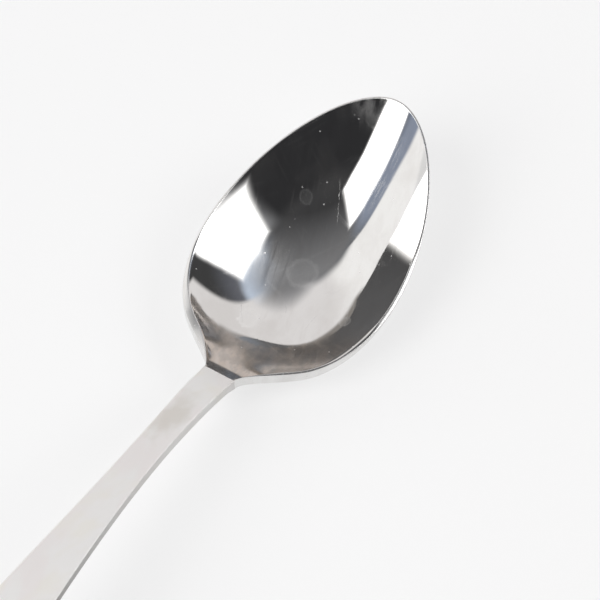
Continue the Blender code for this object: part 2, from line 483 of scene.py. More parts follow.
@dataclass(frozen=True)
class Specks:
    """Small specks of dust: the gap between their possible places, and the share left clean."""

    gap: float
    clean: float

    FADE = (0.05, 0.12)
    CHANCE_STEP = 0.02

    def on(self, bench: FinishBench) -> Signal:
        """Strews the specks on a finish.

        Args:
            bench: Bench of the finish.

        Returns:
            Their strength, from 0 to 1.
        """
        sockets = {"Vector": bench.place, "Scale": 1 / self.gap}
        cells = bench.add("ShaderNodeTexVoronoi", sockets, feature="F1")
        chance = bench.parts(bench.find(cells.outputs, "Color"))[0]
        taken = chance.ramp(self.clean, self.clean + self.CHANCE_STEP)
        return (1 - bench.signal(cells, "Distance").ramp(*self.FADE)) * taken


@dataclass(frozen=True)
class Mark:
    """A mark at one place on the steel, seen from above, with a ragged outline at distance 1."""

    place: Point
    reach: Point
    ragged: float = 0.25
    fade: Point = (0.85, 1.05)

    BORDER = ((0.72, 0.95), (1.0, 1.15))

    def distance(self, bench: FinishBench, grain: Signal) -> Signal:
        """Distance from the middle of the mark.

        Args:
            bench: Bench of the finish that shows the mark.
            grain: Noise that makes the outline ragged.

        Returns:
            The distance as a signal.
        """
        along = (bench.x - self.place[0]) / self.reach[0]
        across = (bench.y - self.place[1]) / self.reach[1]
        squared = along * along + across * across
        return squared.math("SQRT", squared) + (grain - 0.5) * self.ragged

    def mask(self, bench: FinishBench, grain: Signal) -> Signal:
        """Where the mark shows, fading out over its outline."""
        return 1 - self.distance(bench, grain).ramp(*self.fade)

    def border(self, bench: FinishBench, grain: Signal) -> Signal:
        """The border of a mark that dried, where it is thickest."""
        return self.distance(bench, grain).window(*self.BORDER)


@dataclass(frozen=True)
class Scratch:
    """A single scratch, straight as seen from above."""

    start: Point
    end: Point
    width: float

    WANDER = 8.0
    CORE = 0.3
    FULL = (0.1, 0.8)
    BROKEN = (0.30, 0.50)

    def mask(self, bench: FinishBench, grain: Signal) -> Signal:
        """Where the scratch shows.

        Args:
            bench: Bench of the finish that shows it.
            grain: Noise that bends and breaks it.

        Returns:
            Its strength, from 0 to 1.
        """
        run = Vector(self.end) - Vector(self.start)
        way = run.normalized()
        dx, dy = bench.x - self.start[0], bench.y - self.start[1]
        along = dx * way.x + dy * way.y
        aside = dy * way.x - dx * way.y + (grain - 0.5) * (self.WANDER * self.width)
        first, last = (share * run.length for share in self.FULL)
        ends = along.window((0.0, first), (last, run.length))
        line = 1 - abs(aside).ramp(self.CORE * self.width, self.width)
        return line * ends * grain.ramp(*self.BROKEN)


class Finish:
    """A finish: how a surface looks, worked out on a bench of its own."""

    def surface(self, bench: FinishBench) -> bpy.types.NodeSocket:
        """The shader of the finish, which each kind works out for itself."""
        raise NotImplementedError

    def build(self, name: str) -> bpy.types.Material:
        """Makes the material.

        Args:
            name: Its name.

        Returns:
            The finished material.
        """
        bench = FinishBench(name)
        bench.add("ShaderNodeOutputMaterial", {"Surface": self.surface(bench)})
        return bench.material


@dataclass(frozen=True)
class MirrorSteel(Finish):
    """Mirror-polished steel in use: clouds, hairlines, dried water, dust, a browner heel and
    painted shade on the step at the neck line.
    """

    roughness: float = 0.028
    roughest: float = 0.5
    most_veiled: float = 0.6
    clouds: Grain = Grain((0.010, 0.007, 0.010), 1.3, 0.4, 3.0, (0.42, 0.70))
    streaks: Grain = Grain((0.006, 0.0017, 0.006), 5.5, 0.3, 4.0, (0.44, 0.72))
    fine: Grain = Grain((0.0009, 0.0009, 0.0009), 2.1)
    wave: Grain = Grain((0.006, 0.006, 0.006), 3.7, 0.0, 1.0)
    wiped: Grain = Grain((0.012, 0.0007, 0.012), 7.7, 0.29, 1.0)
    rubbed: Grain = Grain((0.0034, 0.00028, 0.0034), 6.1, -0.09, 1.0, (0.48, 0.62))
    mottle: Grain = Grain((0.004, 0.0016, 0.004), 9.3, 0.3, 3.0)
    blotches: Grain = Grain((0.0026, 0.0014, 0.0026), 11.4, 0.2, 3.0, (0.38, 0.58))
    hairlines: tuple[Hairlines, ...] = (
        Hairlines(0.35, 0.050, 0.0012, 4.2),
        Hairlines(-0.6, 0.040, 0.0014, 5.1, 0.8),
        Hairlines(1.2, 0.035, 0.0016, 6.8, 0.8),
    )
    dust: Specks = Specks(0.0019, 0.76)
    water: tuple[Mark, ...] = (
        Mark((0.0806, 0.0086), (0.00135, 0.0013)),
        Mark((0.0671, 0.0012), (0.0034, 0.0031), 0.4),
        Mark((0.0596, -0.0132), (0.0012, 0.0012)),
        Mark((0.0516, 0.0045), (0.0024, 0.0018), 0.9),
    )
    scratches: tuple[Scratch, ...] = (
        Scratch((0.0873, 0.0045), (0.0790, 0.0002), 0.00011),
        Scratch((0.0538, 0.0075), (0.0496, 0.0046), 0.00012),
        Scratch((0.0599, 0.0008), (0.0567, -0.0013), 0.00012),
        Scratch((0.0596, -0.0068), (0.0536, -0.0064), 0.00010),
    )
    smear: Mark = Mark((0.0635, 0.0078), (0.0090, 0.0060), 0.8, (0.2, 1.1))
    wipe: Mark = Mark((0.0915, -0.0033), (0.0095, 0.0030), 0.5, (0.5, 1.0))
    toe_film: Mark = Mark((0.0998, 0.0048), (0.0042, 0.0058), 1.1, (0.3, 1.1))
    brown_free_middle: Mark = Mark((0.0660, 0.0060), (0.0198, 0.0198), 0.10, (1.01, 1.08))
    smear_levels: Point = (0.30, 0.65)
    toe_film_levels: Point = (0.35, 0.65)
    rim_levels: Point = (0.60, 0.95)
    cloud_share: float = 0.7
    streak_share: float = 0.6
    film_share: float = 0.3
    tarnish_fade: Point = (0.050, 0.060)
    tarnish_thinnest: float = 0.6
    tarnish_patches: float = 0.7
    # Painted shade: the step at the neck line darkens below these distances.
    step_fade: Point = (0.0360, 0.0368)
    wave_height: float = 0.000003
    hairline_depth: float = 0.0000002

    def tarnished(self, bench: FinishBench, mottle: Signal) -> Signal:
        """Where the hollow's heel turns brown, outside a circle round its middle.

        Args:
            bench: Bench of this finish.
            mottle: Noise that thins it.

        Returns:
            Its strength, from 0 to 1.
        """
        heel = (1 - self.brown_free_middle.mask(bench, mottle)) * (1 - bench.x.ramp(*self.tarnish_fade))
        patches = (mottle * self.tarnish_patches + self.tarnish_thinnest).least(1.0)
        return heel * patches * bench.attribute(HOLLOW_LAYER)

    def worn(self, bench: FinishBench) -> dict[Wear, Signal]:
        """Where each kind of wear shows.

        Args:
            bench: Bench of this finish.

        Returns:
            The strengths, from 0 to 1.
        """
        fine, wiped, mottle = (grain.on(bench) for grain in (self.fine, self.wiped, self.mottle))
        return {
            Wear.CLOUDS: self.clouds.on(bench),
            Wear.HAIRLINES: strongest(lines.on(bench) for lines in self.hairlines),
            Wear.DRIED_BORDER: strongest(mark.border(bench, fine) for mark in self.water),
            Wear.FILM: strongest(mark.mask(bench, fine) for mark in self.water),
            Wear.DUST: self.dust.on(bench),
            Wear.RIM: bench.attribute(EDGE_LAYER).ramp(*self.rim_levels),
            Wear.TARNISH: self.tarnished(bench, mottle),
            Wear.HAZE: self.smear.mask(bench, wiped) * wiped.ramp(*self.smear_levels),
            Wear.SCRATCHES: strongest(scratch.mask(bench, fine) for scratch in self.scratches),
            Wear.RUBBED: self.rubbed.on(bench) * self.wipe.mask(bench, wiped),
            Wear.TOE_FILM: self.toe_film.mask(bench, mottle) * mottle.ramp(*self.toe_film_levels),
        }

    def colour(self, bench: FinishBench, worn: dict[Wear, Signal]) -> bpy.types.NodeSocket:
        """Colour of the steel: clouded, whitened by dried water and dust, brown at the heel, with
        painted shade on the step at the neck line.

        Args:
            bench: Bench of this finish.
            worn: Where each kind of wear shows.

        Returns:
            The colour's socket.
        """
        clouded = worn[Wear.CLOUDS].most(self.streaks.on(bench) * self.streak_share)
        spotted = worn[Wear.DRIED_BORDER] + worn[Wear.FILM] * self.film_share + worn[Wear.DUST]
        brown = bench.mix(self.blotches.on(bench), Tone.TARNISH, Tone.HEEL_ROSE_BROWN)
        # Painted shade: the step at the neck line is darkened to nearly black.
        brown = bench.mix(1 - bench.x.ramp(*self.step_fade), brown, Tone.PAINTED_STEP_SHADE)
        steel = bench.mix(clouded * self.cloud_share, Tone.CLEAN_STEEL, Tone.CLOUDED_STEEL)
        steel = bench.mix(spotted.least(1.0), steel, Tone.DRIED_WATER)
        return bench.mix(worn[Wear.TARNISH], steel, brown)

    def surface(self, bench: FinishBench) -> bpy.types.NodeSocket:
        """The polished metal under its wear.

        Args:
            bench: Bench of this finish.

        Returns:
            The shader's socket.
        """
        worn = self.worn(bench)
        rough = sum((mask * kind.roughness for kind, mask in worn.items()), self.roughness)
        veil = sum((mask * kind.veil for kind, mask in worn.items() if kind.veil), 0.0)
        relief = self.wave.on(bench) * self.wave_height
        relief = relief - worn[Wear.HAIRLINES] * self.hairline_depth
        bare = 1 - veil.least(self.most_veiled)
        return bench.metal(self.colour(bench, worn), rough.least(self.roughest), relief, bare)


@dataclass(frozen=True)
class SatinSteel(Finish):
    """Satin steel dulled by handling: lengthwise grain, tinted blotches, a stain, and painted shade
    on the sides and back.
    """

    roughness: float = 0.72
    brushed: Grain = Grain((0.012, 0.00025, 0.00025), 1.9)
    rose: Grain = Grain((0.014, 0.006, 0.010), 2.6, 0.2, levels=(0.44, 0.66))
    straw: Grain = Grain((0.010, 0.005, 0.010), 7.4, -0.3, levels=(0.48, 0.68))
    ragged: Grain = Grain((0.004, 0.003, 0.004), 8.8)
    hairlines: tuple[Hairlines, ...] = (
        Hairlines(0.25, 0.040, 0.0012, 3.3),
        Hairlines(-0.9, 0.030, 0.0016, 5.9, 0.7),
    )
    stain: Mark = Mark((0.0185, 0.0006), (0.0075, 0.0030), 1.4, (0.3, 1.2))
    rose_share: float = 0.8
    straw_share: float = 0.7
    stain_share: float = 0.55
    # Painted side shade: lightened towards the neck over these distances, by this share.
    side_fade: Point = (-0.060, 0.020)
    side_shade_lightened: float = 0.75
    brushed_roughness: float = 0.08
    hairline_roughness: float = 0.05
    straw_roughness: float = 0.04
    brushed_height: float = 0.0000015
    hairline_depth: float = 0.0000005

    def surface(self, bench: FinishBench) -> bpy.types.NodeSocket:
        """The brushed metal, its stains, and the painted shade on its sides and back.

        Args:
            bench: Bench of this finish.

        Returns:
            The shader's socket.
        """
        brushed, rose, straw = (part.on(bench) for part in (self.brushed, self.rose, self.straw))
        lines = strongest(lines.on(bench) for lines in self.hairlines)
        shade_lightened = bench.x.ramp(*self.side_fade) * self.side_shade_lightened
        stained = self.stain.mask(bench, self.ragged.on(bench))
        colour = bench.mix(rose * self.rose_share, Tone.SATIN_STEEL, Tone.ROSE_STEEL)
        colour = bench.mix(straw * self.straw_share, colour, Tone.STRAW_STEEL)
        colour = bench.mix(stained * self.stain_share, colour, Tone.BROWN_STAIN)
        # Painted shade: the sides and back darken, less so towards the neck.
        colour = bench.mix(bench.attribute(EDGE_LAYER) * (1 - shade_lightened), colour, Tone.PAINTED_SIDE_SHADE)
        rough = (brushed - 0.5) * self.brushed_roughness + lines * self.hairline_roughness
        rough = rough + straw * self.straw_roughness + self.roughness
        relief = brushed * self.brushed_height - lines * self.hairline_depth
        return bench.metal(colour, rough, relief, 1.0)


@dataclass(frozen=True)
class PalePaper(Finish):
    """Matt white paper of the floor, hardly mottled; part of its white is the backdrop's own."""

    roughness: float = 0.95
    backdrop: float = 0.68
    mottle: Grain = Grain((0.09, 0.09, 0.09), 4.4, levels=(0.35, 0.65))
    seen_by: tuple[str, ...] = ("Is Camera Ray", "Is Glossy Ray", "Is Transmission Ray")

    def surface(self, bench: FinishBench) -> bpy.types.NodeSocket:
        """The paper, with the backdrop's white where it is looked at.

        Args:
            bench: Bench of this finish.

        Returns:
            The shader's socket.
        """
        colour = bench.mix(self.mottle.on(bench), Tone.PAPER, Tone.PAPER_SHADE)
        sockets = {"Base Color": colour, "Roughness": self.roughness}
        paper = bench.add("ShaderNodeBsdfPrincipled", sockets)
        white = bench.add("ShaderNodeEmission", {"Color": Tone.BACKDROP, "Strength": 1.0})
        path = bench.add("ShaderNodeLightPath")
        seen = strongest(bench.signal(path, kind) for kind in self.seen_by)
        return bench.blend(seen * self.backdrop, paper, white)


@dataclass(frozen=True)
class LampCloth(Finish):
    """Lit cloth of a softbox, which thins out to nothing over its border."""

    strength: float = 4.5

    def surface(self, bench: FinishBench) -> bpy.types.NodeSocket:
        """An even glow on the core, clear at the outline.

        Args:
            bench: Bench of this finish.

        Returns:
            The shader's socket.
        """
        share = bench.attribute(CORE_LAYER)
        glow = bench.add("ShaderNodeEmission", {"Color": Tone.LAMP, "Strength": self.strength})
        clear = bench.add("ShaderNodeBsdfTransparent")
        return bench.blend(share * share * share, clear, glow)


def set_in_scene(name: str, data: bpy.types.ID) -> bpy.types.Object:
    """Sets a mesh or a camera in the scene.

    Args:
        name: Name of its object.
        data: The mesh or the camera.

    Returns:
        The object.
    """
    thing = bpy.data.objects.new(name, data)
    bpy.context.scene.collection.objects.link(thing)
    return thing


def carry(mesh: bpy.types.Mesh, layer: str, values: Sequence[float]) -> None:
    """Stores a value at each point of a mesh."""
    mesh.attributes.new(layer, "FLOAT", "POINT").data.foreach_set("value", values)


class Spoonwork:
    """What both halves of the spoon share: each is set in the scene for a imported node."""

    part: Part

    def place(self, mesh: bpy.types.Mesh) -> bpy.types.Object:
        """Sets a finished mesh in the scene as a piece of the spoon.

        Args:
            mesh: The mesh, with its place in its vertices.

        Returns:
            The piece.
        """
        mesh.name = self.part.piece
        mesh.shade_smooth()
        mesh.set_sharp_from_angle(angle=SHARP_ANGLE)
        piece = set_in_scene(self.part.piece, mesh)
        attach(piece, BODY)
        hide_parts(self.part.node)
        return piece

    @staticmethod
    def close(mesh: bpy.types.Mesh) -> None:
        """Merges doubled points, closes the end at the neck line and turns every face outwards.

        Args:
            mesh: The mesh, which is changed.
        """
        shell = bmesh.new()
        shell.from_mesh(mesh)
        bmesh.ops.remove_doubles(shell, verts=shell.verts[:], dist=WELD)
        bmesh.ops.dissolve_degenerate(shell, edges=shell.edges[:], dist=WELD)
        open_edges = [edge for edge in shell.edges if edge.is_boundary]
        bmesh.ops.holes_fill(shell, edges=open_edges, sides=0)
        bmesh.ops.recalc_face_normals(shell, faces=shell.faces[:])
        shell.to_mesh(mesh)
        shell.free()


@dataclass
class Bowl(Spoonwork):
    """The bowl: a hollow that runs out into the neck line, a land, an upright edge, the underside.

    Distances run from the tip towards the handle unless a name says otherwise.
    """

    length: float = 0.0683
    half_width: float = 0.0215
    widest: float = 0.0381
    tip_reach: float = 0.0097
    toe_reach: float = 0.0189
    heel_reach: float = 0.0116
    shoulder_from_neck: float = 0.0091
    shoulder_half_width: float = 0.0138
    shoulder_angle: float = math.radians(48.0)
    shoulder_reach_bowl: float = 0.0034
    shoulder_reach_neck: float = 0.0055
    neck_half_width: float = 0.0034
    neck_reach: float = 0.0020
    rim_heights: tuple[float, float, float, float] = (0.0208, 0.0145, 0.0065, 0.0094)
    land: float = 0.0004
    land_from: float = 0.0400
    land_left_shoulder: float = 0.0015
    land_right_shoulder: float = 0.0004
    land_shoulder_from_neck: float = 0.0068
    land_fall: float = 0.27
    flank_land: float = 0.00065
    flank_fall: float = 0.47
    flank_from: Point = (0.0200, 0.0290)
    flank_to: Point = (0.0470, 0.0560)
    rim_edge: float = 0.0012
    neck_edge: float = 0.0029
    neck_edge_run: float = 0.0060
    rim_round: float = 0.00014
    rim_round_share: float = 0.25
    roll: Point = (0.0008, 0.0003)
    roll_from: Point = (0.0400, 0.0460)
    roll_to: Point = (0.0520, 0.0610)
    foot_round: float = 0.00030
    round_run: float = 0.0030
    lowest: float = 0.0367
    floor_thickness: float = 0.0015
    toe_slope: float = 0.97
    hollow_toe: Point = (0.0070, 0.0171)
    hollow_heel: Point = (0.0193, 0.0143)
    heel_slope: float = 0.326
    step_length: float = 0.0022
    step_drop: float = 0.00132
    lip_run: float = 0.0005
    lip_from: float = 0.0600
    squareness: float = 0.12
    square_from: Point = (0.0520, 0.0620)
    under_toe_slope: float = 1.05
    under_toe: Point = (0.0080, 0.0170)
    under_heel: Point = (0.0140, 0.0080)
    under_heel_slope: float = 0.42
    rest_wear: float = 0.00006
    neck_thickness: float = 0.0038
    worn_edge: float = 0.0006
    outline_steps: tuple[int, int, int] = (96, 64, 56)
    hollow_steps: int = 46
    under_steps: int = 34
    round_steps: int = 4
    roll_steps: int = 10
    side_steps: int = 3

    def __post_init__(self) -> None:
        """Names the node that the bowl stands for."""
        self.part = Part.BOWL

    @property
    def neck_height(self) -> float:
        """Height of the neck line."""
        return self.rim_heights[3]

    @property
    def step_foot(self) -> float:
        """Distance of the foot of the step at the neck line."""
        return self.length - self.step_length

    def outline(self) -> tuple[Curve, Curve, Curve]:
        """Plan of one side.

        Returns:
            Its stretches: tip to widest, widest to shoulder, shoulder to neck.
        """
        wide, narrow = self.half_width, self.neck_half_width
        widest, neck = (self.widest, wide), (self.length, narrow)
        x, y = shoulder = (self.length - self.shoulder_from_neck, self.shoulder_half_width)
        dx, dy = math.cos(self.shoulder_angle), -math.sin(self.shoulder_angle)
        before, after = self.shoulder_reach_bowl, self.shoulder_reach_neck
        into, out_of = (x - dx * before, y - dy * before), (x + dx * after, y + dy * after)
        return (
            Curve((0.0, 0.0), (0.0, self.tip_reach), (self.widest - self.toe_reach, wide), widest),
            Curve(widest, (self.widest + self.heel_reach, wide), into, shoulder),
            Curve(shoulder, out_of, (self.length - self.neck_reach, narrow), neck),
        )

    def rim_height(self, t: np.ndarray) -> np.ndarray:
        """Height of the rim at the distances t."""
        return cubic(self.rim_heights, t / self.length)

    def flank(self, t: np.ndarray, side: Side) -> np.ndarray:
        """Share of the broader and steeper land along the right flank.

        Args:
            t: Distances.
            side: The side that they are on.

        Returns:
            The share at each, from 0 to 1.
        """
        if side is Side.LEFT:
            return np.zeros_like(t)
        return ease(t, *self.flank_from) * (1 - ease(t, *self.flank_to))

    def land_width(self, t: np.ndarray, side: Side) -> np.ndarray:
        """Width of the land: even round the tip, widest on the left shoulder, nothing at the neck.

        Args:
            t: Distances.
            side: The side that they are on.

        Returns:
            The width at each.
        """
        shoulder = self.land_left_shoulder if side is Side.LEFT else self.land_right_shoulder
        peak = self.length - self.land_shoulder_from_neck
        grown = self.land + (shoulder - self.land) * ease(t, self.land_from, peak)
        grown = grown + (self.flank_land - self.land) * self.flank(t, side)
        return np.where(t > peak, shoulder * ease(t, self.length, peak), grown)

    def edge_height(self, t: np.ndarray) -> np.ndarray:
        """Height of the upright edge: thin round the tip, as deep as the handle at the neck."""
        grown = ease(t, self.widest, self.length - self.neck_edge_run)
        return self.rim_edge + (self.neck_edge - self.rim_edge) * grown

    def floor(self) -> SideView:
        """Side view of the hollow's floor.

        Returns:
            Its heights, with the short step that ends it at the neck line.
        """
        tip = float(self.rim_height(np.array(self.land)))
        low, down = self.lowest, self.floor_thickness
        foot, raised = self.step_foot, self.neck_height - self.step_drop
        toe, toe_flat = self.hollow_toe
        heel_flat, heel = self.hollow_heel
        run, drop = self.step_length / 3, self.step_drop / 3
        dip = (self.land + toe, tip - toe * self.toe_slope)
        climb = (foot - heel, raised - heel * self.heel_slope)
        last = (self.length - run, self.neck_height - drop)
        end = (self.length, self.neck_height)
        return SideView(
            Curve((self.land, tip), dip, (low - toe_flat, down), (low, down)),
            Curve((low, down), (low + heel_flat, down), climb, (foot, raised)),
            Curve((foot, raised), (foot + run, raised + drop), last, end),
        )

    def rolled(self, t: np.ndarray) -> np.ndarray:
        """How far the rim's inner edge is rolled over, which it is along the heel's sides."""
        return ease(t, *self.roll_from) * (1 - ease(t, *self.roll_to))

    def lip_share(self, t: np.ndarray) -> np.ndarray:
        """How far the steep lip has grown, from 0 on the sides to 1 at the foot of the step."""
        return ease(t, self.lip_from, self.step_foot) ** 2

    def lip(self, t: np.ndarray, floor: SideView) -> np.ndarray:
        """Height of the steep lip below the rim; over the step it reaches down to the floor.

        Args:
            t: Distances.
            floor: Side view of the hollow's floor.

        Returns:
            The height at each.
        """
        foot = np.array(self.step_foot)
        full = self.rim_height(foot) - floor.height(foot)
        over_step = self.rim_height(t) - floor.height(t)
        return np.where(t < foot, full * self.lip_share(t), over_step)

    def under(self) -> SideView:
        """Side view of the underside.

        Returns:
            Its heights, from the lower edge of the tip to the neck.
        """
        tip = self.rim_heights[0] - self.rim_edge
        low, down = self.lowest, -self.rest_wear
        neck, raised = self.length, self.neck_height - self.neck_thickness
        toe, toe_flat = self.under_toe
        heel_flat, heel = self.under_heel
        dip = (toe, tip - toe * self.under_toe_slope)
        climb = (neck - heel, raised - heel * self.under_heel_slope)
        return SideView(
            Curve((0.0, tip), dip, (low - toe_flat, down), (low, down)),
            Curve((low, down), (low + heel_flat, down), climb, (neck, raised)),
        )

    def lift(self, plan: np.ndarray, height: np.ndarray) -> np.ndarray:
        """Points in space from plan points and their heights."""
        along = NECK_LINE + self.length - plan[..., 0]
        return np.stack([along, plan[..., 1], height], axis=-1)

    @staticmethod
    def dish(
        plan: np.ndarray, edge: np.ndarray, middle: np.ndarray, rim: np.ndarray, square: Any = 0.0
    ) -> np.ndarray:
        """Heights across a dished surface, which rise with the square of the distance across.

        Args:
            plan: Plan points.
            edge: Plan of the surface's edge.
            middle: Heights of the surface in the middle, at these points.
            rim: Heights of its edge, at these points.
            square: Share that rises with the fourth power instead, so that the floor is flatter.

        Returns:
            The heights.
        """
        half = np.maximum(np.interp(plan[..., 0], edge[:, 0], edge[:, 1]), WELD)
        share = np.minimum(plan[..., 1] / half, 1.0) ** 2
        return middle + (rim - middle) * share * (1 - square + square * share)

    @staticmethod
    def rounded(
        start: np.ndarray, corner: np.ndarray, end: np.ndarray, steps: int
    ) -> np.ndarray:
        """Rounded corners, one for each section.

        Args:
            start: Points where the roundings start.
            corner: The sharp corners.
            end: Points where they end.
            steps: Faces of one rounding.

        Returns:
            Points of the roundings, section by section.
        """
        v = np.linspace(0.0, 1.0, steps + 1)[None, :, None]
        start, corner, end = (points[:, None] for points in (start, corner, end))
        return start * (1 - v) ** 2 + corner * 2 * v * (1 - v) + end * v**2

    @staticmethod
    def across(plan: np.ndarray, shares: np.ndarray) -> np.ndarray:
        """Plan points from the middle line out to the given ones."""
        along = np.repeat(plan[:, :1], len(shares), 1)
        return np.stack([along, plan[:, 1:] * shares[None, :]], axis=-1)

    def sections(self, side: Side) -> tuple[np.ndarray, dict[str, np.ndarray]]:
        """Half sections from the tip to the neck line: hollow, land, edge, underside.

        Args:
            side: The side that they belong to.

        Returns:
            Points by section and place in it, and what the mesh carries at each: how near it lies
            to the rim, and whether it belongs to the hollow, both from 0 to 1.
        """
        counts = enumerate(self.outline_steps)
        places = [np.linspace(0.0, 1.0, n + 1)[min(k, 1) :] for k, n in counts]
        stretches = list(zip(self.outline(), places))
        outer = np.concatenate([curve.at(u) for curve, u in stretches])
        way = np.concatenate([curve.heading(u) for curve, u in stretches])
        inwards = np.stack([way[:, 1], -way[:, 0]], axis=1)
        t = outer[:, 0]
        land = self.land_width(t, side)
        falls = self.land_fall + (self.flank_fall - self.land_fall) * self.flank(t, side)
        inner = outer + inwards * land[:, None]
        fade = ease(self.length - t, 0.0, self.round_run)
        bead = (np.minimum(self.rim_round, land * self.rim_round_share) * fade)[:, None]
        foot = (self.foot_round * fade)[:, None]
        floor, under = self.floor(), self.under()
        wall = (self.lip_run * self.lip_share(t) ** 0.5)[:, None]
        ledge = inner + inwards * wall

        def hollow(plan: np.ndarray) -> np.ndarray:
            """Lifts plan points onto the hollow.

            Args:
                plan: The plan points.

            Returns:
                Their points in space.
            """
            x = plan[..., 0]
            rim = self.rim_height(x) - self.lip(x, floor)
            square = self.squareness * ease(x, *self.square_from)
            return self.lift(plan, self.dish(plan, ledge, floor.height(x), rim, square))

        def belly(plan: np.ndarray) -> np.ndarray:
            """Sets plan points on the underside, which is worn flat on the table.

            Args:
                plan: The plan points.

            Returns:
                Their points in space.
            """
            x = plan[..., 0]
            edge = self.rim_height(x) - self.edge_height(x)
            return self.lift(plan, np.maximum(self.dish(plan, outer, under.height(x), edge), 0.0))

        def level(plan: np.ndarray, out: np.ndarray) -> np.ndarray:
            """Points on the land over plan points that lie that far out from its inner edge."""
            return self.lift(plan, self.rim_height(plan[:, 0]) - out * falls)

        low = self.rim_height(t) - self.edge_height(t)
        brim, crown, sole = level(inner, 0 * land), level(outer, land), self.lift(outer, low)
        side_top = self.lift(outer, self.rim_height(t) - land * falls - bead[:, 0])
        side_low = self.lift(outer, low + foot[:, 0])
        shares = np.linspace(0.0, 1.0, self.hollow_steps + 1)[:-1]
        under_shares = np.linspace(1.0, 0.0, self.under_steps + 1)[1:]
        fall = np.linspace(0.0, 1.0, self.side_steps + 1)[1:-1][None, :, None]
        rolled = self.rolled(t)[:, None]
        within = inner + inwards * np.maximum(np.maximum(wall, bead), self.roll[0] * rolled)
        beside = np.maximum(bead, np.minimum(self.roll[1] * rolled, land[:, None] - bead))
        start = hollow(within)
        rise = np.linalg.norm(brim - start, axis=1, keepdims=True)
        turned = np.minimum(np.maximum(bead, rise * rolled) / np.maximum(rise, WELD), 1.0)
        near, far = brim + (start - brim) * turned, level(inner - inwards * beside, beside[:, 0])
        land_end = level(outer + inwards * bead, land - bead[:, 0])
        under_edge = outer + inwards * foot
        strips = [
            hollow(self.across(within, shares)),
            start[:, None],
            self.rounded(near, brim, far, self.roll_steps),
            self.rounded(land_end, crown, side_top, self.round_steps),
            side_top[:, None] * (1 - fall) + side_low[:, None] * fall,
            self.rounded(side_low, sole, belly(under_edge), self.round_steps),
            belly(self.across(under_edge, under_shares)),
        ]
        points = np.concatenate(strips, axis=1)
        reach = reduce(
            np.minimum, (np.linalg.norm(points - edge[:, None], axis=-1) for edge in (brim, crown))
        )
        inside = np.zeros(points.shape[:2])
        inside[:, : self.hollow_steps + 2] = 1.0
        return points, {EDGE_LAYER: np.exp(-reach / self.worn_edge), HOLLOW_LAYER: inside}

    def mesh(self) -> bpy.types.Mesh:
        """Skins the half sections of both sides.

        Returns:
            The mesh, closed at the tip and at the neck line.
        """
        left, carried = self.sections(Side.LEFT)
        right, carried_right = self.sections(Side.RIGHT)
        mirrored = right[:, -2:0:-1] * (1.0, Side.RIGHT.value, 1.0)
        ring = np.concatenate([left, mirrored], axis=1)
        rows, columns = ring.shape[:2]
        first = np.arange(rows * columns).reshape(rows, columns)
        after = np.roll(first, -1, axis=1)
        faces = np.stack([first[:-1], after[:-1], after[1:], first[1:]], axis=-1).reshape(-1, 4)
        mesh = bpy.data.meshes.new(self.part.piece)
        mesh.from_pydata(ring.reshape(-1, 3).tolist(), [], faces.tolist())
        for name, values in carried.items():
            both = np.concatenate([values, carried_right[name][:, -2:0:-1]], axis=1)
            carry(mesh, name, both.ravel().astype(np.float32))
        self.close(mesh)
        return mesh

    def build(self) -> bpy.types.Object:
        """Builds the bowl and dresses it in mirror steel.

        Returns:
            The piece.
        """
        mesh = self.mesh()
        mesh.materials.append(MirrorSteel().build("mirror_steel"))
        return self.place(mesh)


